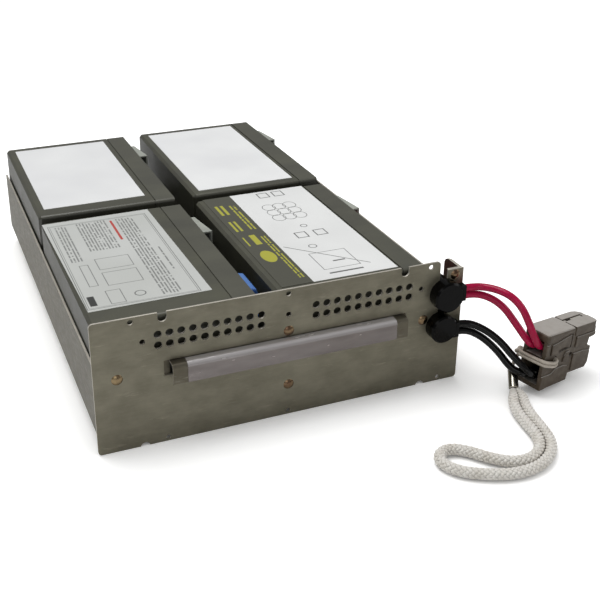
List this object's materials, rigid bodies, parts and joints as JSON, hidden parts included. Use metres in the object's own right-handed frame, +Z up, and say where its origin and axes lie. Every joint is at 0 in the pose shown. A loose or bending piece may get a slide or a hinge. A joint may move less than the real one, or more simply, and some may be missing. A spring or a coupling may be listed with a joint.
{
  "type": "ups battery cartridge",
  "caption": "Steel tray holding sealed batteries behind a riveted face plate with a pull handle, cables and a two-pole connector with a rope pull.",
  "frame": {"origin": "under the middle of the cartridge without its cables, level with the face plate's lower edge", "axes": "+X to the right along the face plate, +Y from the face plate towards the tray's rear, +Z up"},
  "size_m": [0.3085, 0.4232, 0.082],
  "materials": {
    "galvanised_steel": "satin galvanised sheet",
    "film": "silvery adhesive film",
    "copper_rivet": "coppery satin",
    "case_plastic": "satin moulded plastic",
    "lid_plastic": "satin moulded plastic",
    "label_film": "satin printed film",
    "cover_plastic": "light grey moulded plastic",
    "tinned_tab": "tinned",
    "silvered_contact": "silver plated",
    "blue_plastic": "satin moulded plastic",
    "bushing_plastic": "glossy moulded plastic",
    "red_insulation": "glossy cable insulation",
    "black_insulation": "glossy cable insulation",
    "connector_plastic": "satin moulded plastic",
    "cord_fibre": "twisted cord",
    "rope_fibre": "braided rope",
    "bright_steel": "bright drawn steel"
  },
  "bodies": {
    "root": {"battery_front_left_case": "case_plastic", "battery_front_left_cover": "cover_plastic", "battery_front_left_label": "label_film", "battery_front_left_lid": "lid_plastic", "battery_front_left_tab": "tinned_tab", "battery_front_right_case": "case_plastic", "battery_front_right_cover": "cover_plastic", "battery_front_right_label": "label_film", "battery_front_right_lid": "lid_plastic", "battery_front_right_tab": "tinned_tab", "battery_rear_left_case": "case_plastic", "battery_rear_left_cover": "cover_plastic", "battery_rear_left_label": "label_film", "battery_rear_left_lid": "lid_plastic", "battery_rear_left_tab": "tinned_tab", "battery_rear_right_case": "case_plastic", "battery_rear_right_cover": "cover_plastic", "battery_rear_right_label": "label_film", "battery_rear_right_lid": "lid_plastic", "battery_rear_right_tab": "tinned_tab", "bracket_rivet": "copper_rivet", "cable_black_lower": "black_insulation", "cable_black_upper": "black_insulation", "cable_bushing_lower": "bushing_plastic", "cable_bushing_upper": "bushing_plastic", "cable_red_lower": "red_insulation", "cable_red_upper": "red_insulation", "connector_housing": "connector_plastic", "connector_tie": "cord_fibre", "contact_lower": "silvered_contact", "contact_upper": "silvered_contact", "corner_bracket": "galvanised_steel", "front_plate": "galvanised_steel", "handle_film": "film", "handle_rivet_left": "copper_rivet", "handle_rivet_middle": "copper_rivet", "handle_rivet_right": "copper_rivet", "lead_link": "black_insulation", "lead_negative": "black_insulation", "lead_positive": "red_insulation", "pull_handle": "galvanised_steel", "pull_rope": "rope_fibre", "rope_sleeve": "bright_steel", "terminal_sleeve": "blue_plastic", "tray": "galvanised_steel", "tray_rivet": "copper_rivet"}
  },
  "joints": []
}
